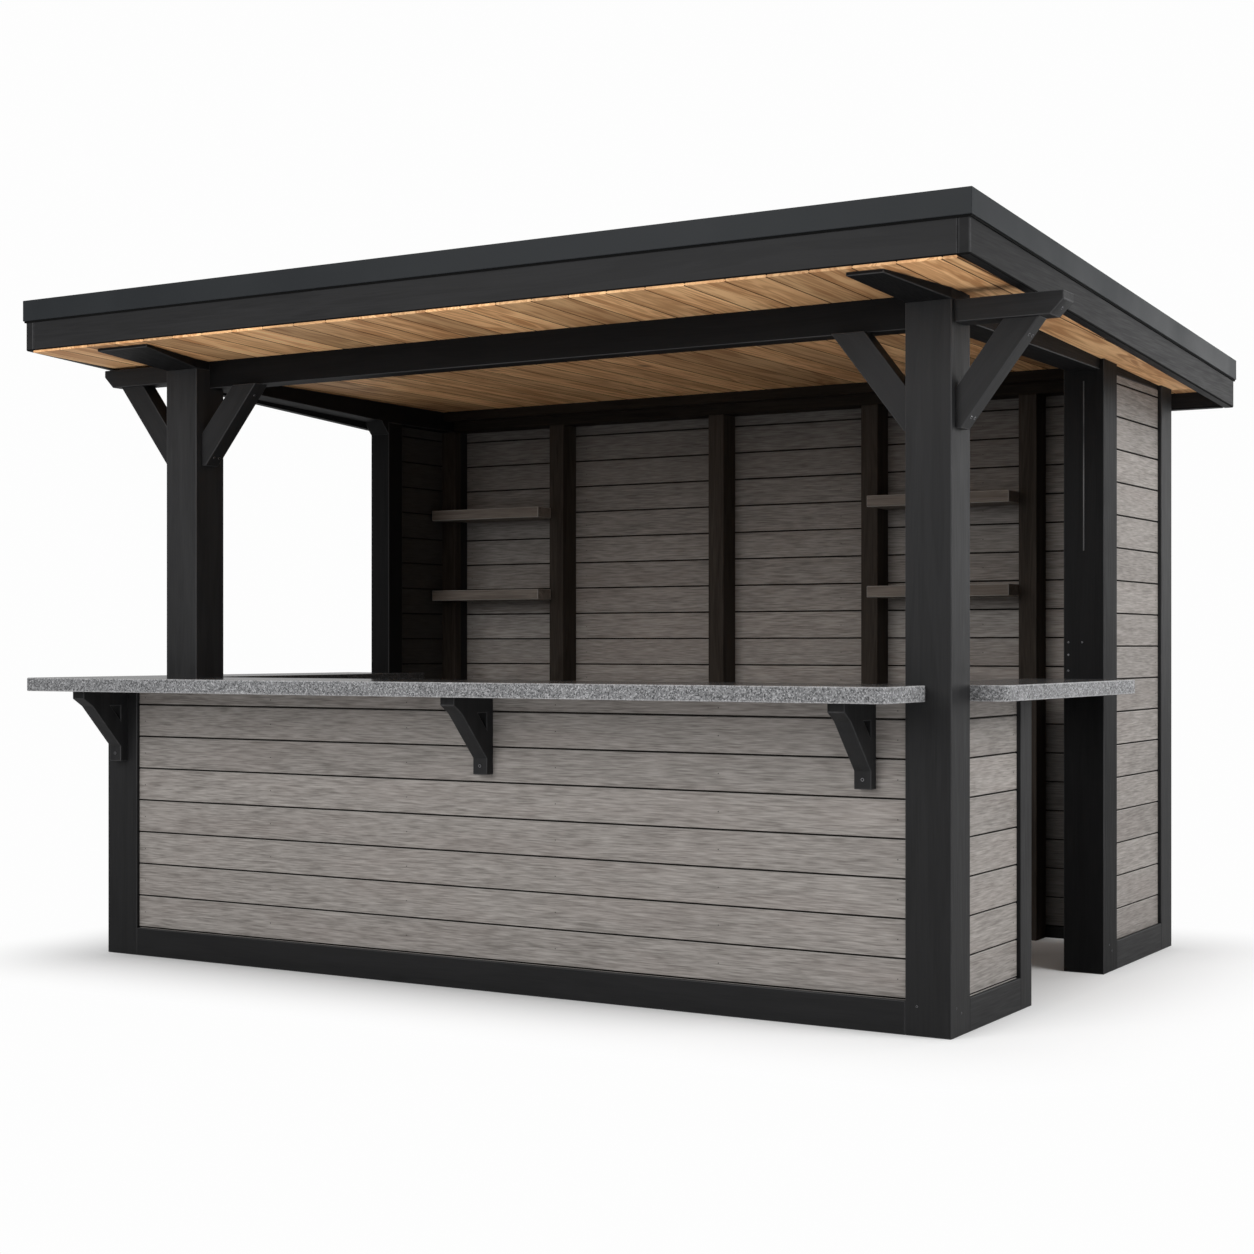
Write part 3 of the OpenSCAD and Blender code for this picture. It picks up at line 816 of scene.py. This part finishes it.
@dataclass
class Cladding:
    """Walls of level boards with grooves between them and nails along the studs.

    Attributes:
        walls: Wall nodes.
        courses: Walls whose first groove and board height differ from the rest.
        skirting: Node whose top is the first groove.
        board: Height of a board.
        groove: Width of the chamfer above and below a groove.
        inner: Walls with a face in painted shade and light: where it faces, its brightness and how that
            changes with height.
        footed: Wall with a dark lowest board.
        nail_step: Distance between rows of nails.
        nail_inset: Distance of the outer nails from a wall's ends.
        nail_radius: Radius of a nail head.
        nail_height: Height of a nail head.
        seed: Seed of the shades.
    """

    walls: Sequence[str] = (
        "front_wall", "left_half_wall", "left_rear_wall", "back_wall", "right_rear_wall", "right_short_wall")
    courses: dict[str, tuple[float, float]] = field(default_factory=lambda: {
        "back_wall": (0.0468, 0.1161), "left_rear_wall": (0.0468, 0.1161),
        "right_rear_wall": (0.211, 0.1203)})
    skirting: str = "front_skirting"
    board: float = 0.121
    groove: tuple[float, float] = (0.006, 0.002)
    # Painted shade on the left rear wall's inner face; painted light on the back wall's inner face, with
    # painted shade under the roof and below the counter
    inner: dict[str, tuple[Place, float, tuple[Ramp, ...]]] = field(default_factory=lambda: {
        "left_rear_wall": ((1.0, 0.0, 0.0), 0.15, ()),
        "back_wall": ((0.0, -1.0, 0.0), 1.4, ((1.2, 2.15, 1.0, 0.4), (0.85, 1.06, 0.2, 1.0)))})
    footed: str = "back_wall"
    nail_step: float = 0.62
    nail_inset: float = 0.03
    nail_radius: float = 0.0021
    nail_height: float = 0.0006
    seed: int = 5

    def rows(self, wall: str, low: float, high: float) -> list[tuple[float, float]]:
        """Split a wall's height into boards.

        Args:
            wall: Name of the wall.
            low: Foot of the wall.
            high: Top of the wall.

        Returns:
            Foot and top of each board.
        """
        first, board = self.courses.get(wall, (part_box(self.skirting)[1].z, self.board))
        count = math.ceil((high - first) / board - 0.1)
        edges = [low, *(first + board * i for i in range(count)), high]
        return list(zip(edges[:-1], edges[1:]))

    def build(self) -> None:
        """Make the boards and the nails of every wall."""
        shade = random.Random(self.seed)
        for wall in self.walls:
            low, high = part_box(wall)
            run = 0 if high.x - low.x > high.y - low.y else 1
            grain = GrainRun.ALONG_X if run == 0 else GrainRun.ALONG_Y
            bm = bmesh.new()
            bm.verts.layers.float.new(TONE)
            toward, level, falls = self.inner.get(wall, ((0.0, 0.0, 0.0), 1.0, ()))
            rows = self.rows(wall, low.z, high.z)
            for row, (foot, top) in enumerate(rows):
                corners = (Vector((low.x, low.y, foot)), Vector((high.x, high.y, top)))
                faces = add_board(bm, *corners, run, self.groove, shade.random())
                for face in faces:
                    if face.normal.dot(Vector(toward)) > 0.5 and face.material_index != 1:
                        face.material_index = 3
                    if wall == self.footed and row == 0:
                        face.material_index = 4
            finishes = [
                weathered(grain).material(), GROOVE.material(), BOARD_ARRIS.material(),
                weathered(grain, level, falls).material(), stain(grain).material()]
            make_piece(f"{wall}_boards", bm, finishes, [wall])
            self.nails(wall, low, high, run, rows)

    def nails(self, wall: str, low: Vector, high: Vector, run: int, rows: list[tuple[float, float]]) -> None:
        """Make the nail heads on both faces of a wall.

        Args:
            wall: Name of the wall.
            low: Lowest corner of the wall.
            high: Highest corner of the wall.
            run: Index of the axis that the boards run along.
            rows: Foot and top of each board.
        """
        bm = bmesh.new()
        across = 1 - run
        length = high[run] - low[run] - 2 * self.nail_inset
        count = max(1, round(length / self.nail_step))
        for column in range(count + 1):
            for foot, top in rows[1:]:
                for side, face in ((-1.0, low), (1.0, high)):
                    place = Vector((0.0, 0.0, (foot + top) / 2))
                    place[run] = low[run] + self.nail_inset + length * column / count
                    place[across] = face[across]
                    normal = Vector((0.0, 0.0, 0.0))
                    normal[across] = side
                    add_disc(bm, place, normal, self.nail_radius, self.nail_height, 8)
        make_piece(f"{wall}_nails", bm, [NAIL.material()])


@dataclass
class BackWallFittings:
    """Studs, rear plate, rails and shelves.

    Attributes:
        shelves: Shelf nodes.
        arris: Rounding of the studs' edges.
        shelf_arris: Rounding of the shelves' edges.
        seed: Seed of the shades.
    """

    shelves: Sequence[str] = (
        "left_lower_shelf", "left_upper_shelf", "right_lower_shelf", "right_upper_shelf")
    arris: float = 0.0025
    shelf_arris: float = 0.003
    seed: int = 23

    def build(self, nodes: dict[str, Piece]) -> None:
        """Make the fittings.

        Args:
            nodes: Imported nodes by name.
        """
        shade = random.Random(self.seed)
        upright = [STUD_BROWN.material()] * 2
        level = [PLATE_BROWN.material()] * 2
        board = [SHELF_BROWN.material(), BOARD_ARRIS.material()]
        timbers = {"back_studs": upright, "rear_plate": level, "rear_ledge": level, "counter_rails": level}
        for name, finishes in timbers.items():
            bm = rounded_copy(nodes[name], self.arris, 2, shade.random())
            make_piece(f"{name}_timber", bm, finishes, [name])
        for name in self.shelves:
            bm = rounded_copy(nodes[name], self.shelf_arris, 2, shade.random())
            make_piece(f"{name}_board", bm, board, [name])


@dataclass
class Counters:
    """Stone counters with eased edges.

    Attributes:
        slabs: Counter nodes.
        shaded: Counter whose edge toward the inside is darkened as a painted shade.
        arris: Rounding of the edges.
    """

    slabs: Sequence[str] = ("front_counter", "left_counter", "right_counter")
    shaded: str = "left_counter"
    arris: float = 0.004

    def build(self, nodes: dict[str, Piece]) -> None:
        """Make the slabs.

        Args:
            nodes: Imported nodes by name.
        """
        stone = [GRANITE.material(), GRANITE_HIGHLIGHT.material(), GRANITE_SHADE.material()]
        for name in self.slabs:
            bm = rounded_copy(nodes[name], self.arris, 3, 0.5)
            bm.normal_update()
            # Painted shade on the left counter's faces toward the inside
            for face in bm.faces:
                if name == self.shaded and face.normal.x > 0.4:
                    face.material_index = 2
            make_piece(f"{name}_slab", bm, stone, [name])


def sliced_boards(node: Piece, edges: Sequence[float], arris: float) -> Draft:
    """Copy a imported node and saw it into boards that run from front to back.

    Args:
        node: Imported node.
        edges: Places along X where boards meet.
        arris: Width of the chamfer along the boards.

    Returns:
        The new mesh, with the chamfers in the second material.
    """
    whole = bmesh.new()
    for left, right in zip(edges[:-1], edges[1:]):
        bm = bmesh.new()
        bm.from_mesh(node.data)
        bmesh.ops.remove_doubles(bm, verts=bm.verts[:], dist=MERGE)
        bmesh.ops.dissolve_limit(bm, angle_limit=math.radians(0.5), verts=bm.verts[:], edges=bm.edges[:])
        for place, side in ((left, -1.0), (right, 1.0)):
            cut = bmesh.ops.bisect_plane(
                bm, geom=[*bm.verts, *bm.edges, *bm.faces], plane_co=(place, 0.0, 0.0),
                plane_no=(side, 0.0, 0.0), clear_outer=True)
            rim = [e for e in cut["geom_cut"] if isinstance(e, bmesh.types.BMEdge) and e.is_boundary]
            if rim:
                bmesh.ops.edgeloop_fill(bm, edges=rim)
        bmesh.ops.recalc_face_normals(bm, faces=bm.faces[:])
        for face in bm.faces:
            face.material_index = 0
        long_edges = [
            e for e in bm.edges
            if abs(e.verts[0].co.y - e.verts[1].co.y) > 0.9 * e.calc_length()
            and e.calc_face_angle(0.0) > 0.3]
        for face in round_edges(bm, long_edges, arris, 1)["faces"]:
            face.material_index = 1
        join(whole, bm)
    return whole


@dataclass
class Ceiling:
    """Natural boards that run from front to back, inside and under the eaves.

    Attributes:
        fields: Nodes that are sawn into boards, from one set of lines.
        board: Width of a board.
        groove: Width of the chamfer on each side of a groove.
        seed: Seed of the shades.
    """

    fields: Sequence[str] = ("ceiling", "front_soffit", "right_soffit", "rear_soffit")
    board: float = 0.138
    groove: float = 0.003
    seed: int = 41

    def build(self, nodes: dict[str, Piece]) -> None:
        """Make the boards.

        Args:
            nodes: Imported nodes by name.
        """
        shade = random.Random(self.seed)
        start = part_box("ceiling")[0].x
        finishes = [BARE_SOFTWOOD.material(), CEILING_GROOVE.material()]
        for name in self.fields:
            low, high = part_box(name)
            first = math.floor((low.x - start) / self.board + 1e-6)
            last = math.ceil((high.x - start) / self.board - 1e-6)
            lines = [start + self.board * i for i in range(first, last + 1)]
            bm = sliced_boards(nodes[name], lines, self.groove)
            layer = bm.verts.layers.float.new(TONE)
            tones = [shade.random() for _ in lines]
            for face in bm.faces:
                tone = tones[int((face.calc_center_median().x - lines[0]) / self.board)]
                for vert in face.verts:
                    vert[layer] = tone
            make_piece(f"{name}_boards", bm, finishes, [name])


@dataclass
class Fasteners:
    """Screw heads on the braces, the right tail, the bracket feet and the right posts.

    Attributes:
        radius: Radius of a screw head.
        small: Radius of a screw head on the posts.
        height: Height of a screw head.
        toe: Level cut at the foot of a brace.
        clip: Length and height of the clip under a tail's end.
        leg: Thickness of a bracket's leg.
        foot: Height of the screw above a bracket's foot.
        socket: Radius of the dark disc painted as a socket's shade, against its head's, and its height above
            the head.
    """

    radius: float = 0.0058
    small: float = 0.0036
    height: float = 0.0012
    toe: float = 0.018
    clip: float = 0.042
    leg: float = 0.038
    foot: float = 0.03
    socket: tuple[float, float] = (0.66, 0.0002)

    def post_places(self) -> list[tuple[Vector, Vector, float]]:
        """Find where the screws sit on the right posts.

        Returns:
            Place, outward direction and radius of each screw.
        """
        front = Vector((0.0, -1.0, 0.0))
        right = Vector((1.0, 0.0, 0.0))
        spots = (
            ("front_right_post", front, ((0.26, 0.09),)),
            ("front_right_post", right, ((0.26, 0.088), (0.53, 0.068))),
            ("mid_right_post", front, ((0.12, 1.088), (0.12, 1.145), (0.12, 1.19), (0.46, 1.19))),
            ("mid_right_post", right, ((0.6, 0.075), (0.4, 0.1))))
        found = []
        for name, out, shares in spots:
            low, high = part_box(name)
            for share, level in shares:
                place = Vector((low.x + (high.x - low.x) * share, low.y, level))
                if out == right:
                    place = Vector((high.x, low.y + (high.y - low.y) * share, level))
                found.append((place, out, self.small))
        return found

    def places(self) -> list[tuple[Vector, Vector, float]]:
        """Find where the screws sit.

        Returns:
            Place, outward direction and radius of each screw.
        """
        found = self.post_places()
        braces = (
            ("front_right_outer_brace", ((0.10, 0.3), (0.10, 0.7), (0.84, 0.3), (0.84, 0.7))),
            ("front_left_inner_brace", ((0.10, 0.3), (0.10, 0.7), (0.86, 0.5))))
        for name, spots in braces:
            low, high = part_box(name)
            rise = high.z - low.z
            run = high.x - low.x - self.toe
            out = Vector((rise, 0.0, -run)).normalized()
            for along, across in spots:
                place = Vector((
                    low.x + self.toe + run * along, low.y + (high.y - low.y) * across, low.z + rise * along))
                found.append((place, out, self.radius))
        low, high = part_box("right_tail")
        place = Vector((high.x - self.clip / 2, (low.y + high.y) / 2, low.z + self.clip / 2))
        found.append((place, Vector((1.0, 0.0, -1.0)).normalized(), self.radius))
        for name in ("left_bracket", "middle_bracket", "right_bracket"):
            low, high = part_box(name)
            place = Vector(((low.x + high.x) / 2, high.y - self.leg, low.z + self.foot))
            found.append((place, Vector((0.0, -1.0, 0.0)), self.radius))
        return found

    def build(self) -> None:
        """Make the screw heads and the dark discs painted as the shade in their sockets."""
        heads = bmesh.new()
        sockets = bmesh.new()
        share, rise = self.socket
        for place, out, radius in self.places():
            add_disc(heads, place, out, radius, self.height, 20)
            add_disc(sockets, place + out * self.height, out, radius * share, rise, 12)
        make_piece("screw_heads", heads, [SCREW.material()])
        make_piece("screw_sockets", sockets, [SCREW_HOLE.material()])


@dataclass
class RoofCover:
    """Roof deck and the folded metal edge round it.

    Attributes:
        arris: Rounding of the metal's folds.
        leg: Height of the metal's outer leg.
        proud: Distance of the leg's outer face from the fascia.
        shadow_strip: Height and depth of the dark strip below the leg, a painted shadow line.
        sheets: Number of sheets in the membrane.
        lap: Width and height of the lap between two sheets.
        inset: Distance of the laps' ends from the deck's edges.
    """

    arris: float = 0.0015
    leg: float = 0.076
    proud: float = 0.008
    shadow_strip: tuple[float, float] = (0.006, 0.004)
    sheets: int = 4
    lap: tuple[float, float] = (0.09, 0.0025)
    inset: float = 0.055

    def build(self, nodes: dict[str, Piece]) -> None:
        """Make the deck and the edge.

        Args:
            nodes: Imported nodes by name.
        """
        deck = rounded_copy(nodes["roof_deck"], self.arris, 1, 0.5)
        make_piece("roof_deck_cover", deck, [MEMBRANE.material()] * 2, ["roof_deck"])
        edge = rounded_copy(nodes["roof_trim"], self.arris, 2, 0.5)
        make_piece("roof_edge", edge, [EDGE_SHEET.material()] * 2, ["roof_trim"])
        self.laps(nodes["roof_deck"])
        self.shadow_strips()

    def laps(self, deck: Piece) -> None:
        """Make the laps between the sheets of the membrane.

        Args:
            deck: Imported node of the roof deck.
        """
        low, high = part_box("roof_deck")
        rear = max(v.co.z for v in deck.data.vertices if v.co.y > (low.y + high.y) / 2)
        slope = (high.z - rear) / (high.y - low.y)
        wide, tall = self.lap
        bm = bmesh.new()
        for number in range(1, self.sheets):
            middle = low.x + (high.x - low.x) * number / self.sheets
            box_mesh(
                bm, Vector((middle - wide / 2, low.y + self.inset, high.z - 0.002)),
                Vector((middle + wide / 2, high.y - self.inset, high.z + tall)))
        for vert in bm.verts:
            vert.co.z -= slope * (vert.co.y - low.y)
        make_piece("roof_laps", bm, [MEMBRANE.material()])

    def shadow_strips(self) -> None:
        """Make the dark strip between the metal edge and the fascia boards, a painted shadow line."""
        low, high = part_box("roof_trim")
        top = high.z - self.leg
        slope = (top - low.z) / (high.y - low.y)
        tall, deep = self.shadow_strip
        inset = self.proud - deep
        bm = bmesh.new()
        x0, x1, y0, y1 = low.x + inset, high.x - inset, low.y + inset, high.y - inset
        wide = deep + 0.001
        for a, b in (
                ((x0, y0), (x1, y0 + wide)), ((x0, y1 - wide), (x1, y1)),
                ((x0, y0 + wide), (x0 + wide, y1 - wide)), ((x1 - wide, y0 + wide), (x1, y1 - wide))):
            box_mesh(bm, Vector((*a, top - tall)), Vector((*b, top + 0.001)))
        for vert in bm.verts:
            vert.co.z -= slope * (vert.co.y - low.y)
        make_piece("roof_edge_shadow_strip", bm, [SHADOW_LINE.material()])


@dataclass
class Studio:
    """Camera of the photo, white floor and soft light.

    Attributes:
        image: Width and height of the image in pixels.
        focal: Focal length in pixels.
        horizon: Image row of the level horizon.
        yaw: Turn of the camera to the left of the bar's depth, in degrees.
        offset: Camera place from the front right post's outer front corner.
        sensor: Width of the camera's sensor in millimetres.
        floor_size: Side of the floor.
        floor_grey: Brightness of the floor below and beside the pavilion, darker below it as a painted shade.
        floor_white: Brightness of the floor's plain white to the camera.
        floor_reach: Distances from the pavilion's foot over which the floor's grey runs.
        fade: Distances from the pavilion's foot over which the floor turns plain white.
        sky: Brightness of the even sky.
        backdrop: Brightness of the background.
        lamps: Place, side of the square face and power in watts of each lamp.
    """

    image: float = 1254.0
    focal: float = 2072.0
    horizon: float = 646.3
    yaw: float = 30.99
    offset: Place = (2.355, -5.803, 1.1756)
    sensor: float = 36.0
    floor_size: float = 60.0
    floor_grey: tuple[float, float] = (0.5, 0.9)
    floor_white: float = 0.985
    floor_reach: tuple[float, float] = (-0.4, 0.1)
    fade: tuple[float, float] = (-0.1, 0.75)
    sky: float = 0.42
    backdrop: float = 0.985
    lamps: dict[str, tuple[Place, float, float]] = field(default_factory=lambda: {
        "key_light": ((6.5, -0.6, 5.5), 4.0, 355.0), "front_light": ((-1.2, -7.5, 4.2), 5.0, 300.0),
        "rim_light": ((4.4, 6.0, 2.2), 2.5, 50.0)})

    def build(self) -> None:
        """Make the camera, the floor and the lights."""
        self.camera()
        self.floor()
        self.world()
        for name, setting in self.lamps.items():
            self.lamp(name, *setting)

    def camera(self) -> None:
        """Make the camera at the photo's viewpoint."""
        low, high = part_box("front_right_post")
        data = bpy.data.cameras.new("photo_camera")
        data.sensor_fit = "HORIZONTAL"
        data.sensor_width = self.sensor
        data.lens = self.sensor * self.focal / self.image
        data.shift_y = (self.horizon - self.image / 2) / self.image
        camera = bpy.data.objects.new("photo_camera", data)
        camera.location = Vector((high.x, low.y, 0.0)) + Vector(self.offset)
        camera.rotation_euler = (math.radians(90.0), 0.0, math.radians(self.yaw))
        bpy.context.scene.collection.objects.link(camera)
        bpy.context.scene.camera = camera

    def floor(self) -> None:
        """Make the floor, which fades to white away from the pavilion."""
        bm = bmesh.new()
        bmesh.ops.create_grid(bm, x_segments=1, y_segments=1, size=self.floor_size / 2)
        mesh = bpy.data.meshes.new("studio_floor")
        bm.to_mesh(mesh)
        bm.free()
        material = bpy.data.materials.new("studio_white")
        material.use_nodes = True
        tree = ShaderTree(material.node_tree)
        shader = material.node_tree.nodes["Principled BSDF"]
        shader.inputs["Roughness"].default_value = 0.9
        shader.inputs["Specular IOR Level"].default_value = 0.0
        white = tree.add("ShaderNodeEmission")
        white.inputs["Strength"].default_value = self.floor_white
        place = tree.add("ShaderNodeSeparateXYZ")
        tree.put(place.inputs[0], tree.place())
        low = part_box("front_wall")[0]
        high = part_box("right_rear_wall")[1]
        sides = []
        for axis in (0, 1):
            middle = tree.math("SUBTRACT", place.outputs[axis], (low[axis] + high[axis]) / 2)
            sides.append(tree.math("SUBTRACT", tree.math("ABSOLUTE", middle), (high[axis] - low[axis]) / 2))
        squares = [tree.math("POWER", tree.math("MAXIMUM", side, 0.0), 2.0) for side in sides]
        inside = tree.math("MINIMUM", tree.math("MAXIMUM", *sides), 0.0)
        away = tree.math("ADD", tree.math("SQRT", tree.math("ADD", *squares)), inside)
        share = tree.span(away, *self.fade, 0.0, 1.0, "SMOOTHSTEP")
        # The floor is darker under the pavilion, a painted shade
        tree.put(shader.inputs["Base Color"], tree.span(away, *self.floor_reach, *self.floor_grey))
        seen = tree.add("ShaderNodeLightPath").outputs["Is Camera Ray"]
        mix = tree.add("ShaderNodeMixShader")
        tree.put(mix.inputs[0], tree.math("MULTIPLY", seen, share))
        tree.put(mix.inputs[1], shader.outputs[0])
        tree.put(mix.inputs[2], white.outputs[0])
        tree.put(material.node_tree.nodes["Material Output"].inputs["Surface"], mix.outputs[0])
        mesh.materials.append(material)
        floor = bpy.data.objects.new("studio_floor", mesh)
        bpy.context.scene.collection.objects.link(floor)
        floor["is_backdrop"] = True

    def world(self) -> None:
        """Make the even sky, which looks white to the camera."""
        world = bpy.data.worlds.new("studio_sky")
        bpy.context.scene.world = world
        world.use_nodes = True
        tree = ShaderTree(world.node_tree)
        path = tree.add("ShaderNodeLightPath").outputs
        seen = tree.math("MAXIMUM", path["Is Camera Ray"], path["Is Transmission Ray"])
        background = world.node_tree.nodes["Background"]
        background.inputs["Color"].default_value = (1.0, 1.0, 1.0, 1.0)
        tree.put(background.inputs["Strength"], tree.span(seen, 0.0, 1.0, self.sky, self.backdrop))

    def lamp(self, name: str, place: Place, size: float, power: float) -> None:
        """Make a soft lamp aimed at the middle of the pavilion.

        Args:
            name: Name of the lamp.
            place: Where it hangs.
            size: Side of its square face.
            power: Power in watts.
        """
        low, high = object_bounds()
        data = bpy.data.lights.new(name, "AREA")
        data.shape = "SQUARE"
        data.size = size
        data.energy = power
        lamp = bpy.data.objects.new(name, data)
        lamp.location = place
        aim = (Vector(low) + Vector(high)) / 2 - Vector(place)
        lamp.rotation_euler = aim.to_track_quat("-Z", "Y").to_euler()
        bpy.context.scene.collection.objects.link(lamp)


def main() -> None:
    """Build the pavilion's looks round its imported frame."""
    logging.basicConfig(level=logging.INFO, format="%(name)s %(message)s")
    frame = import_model()
    nodes = frame["nodes"]
    bpy.context.scene.view_settings.view_transform = "Standard"
    Studio().build()
    TimberFrame().build(nodes)
    Cladding().build()
    BackWallFittings().build(nodes)
    Counters().build(nodes)
    Ceiling().build(nodes)
    RoofCover().build(nodes)
    Fasteners().build()


if __name__ == "__main__":
    main()
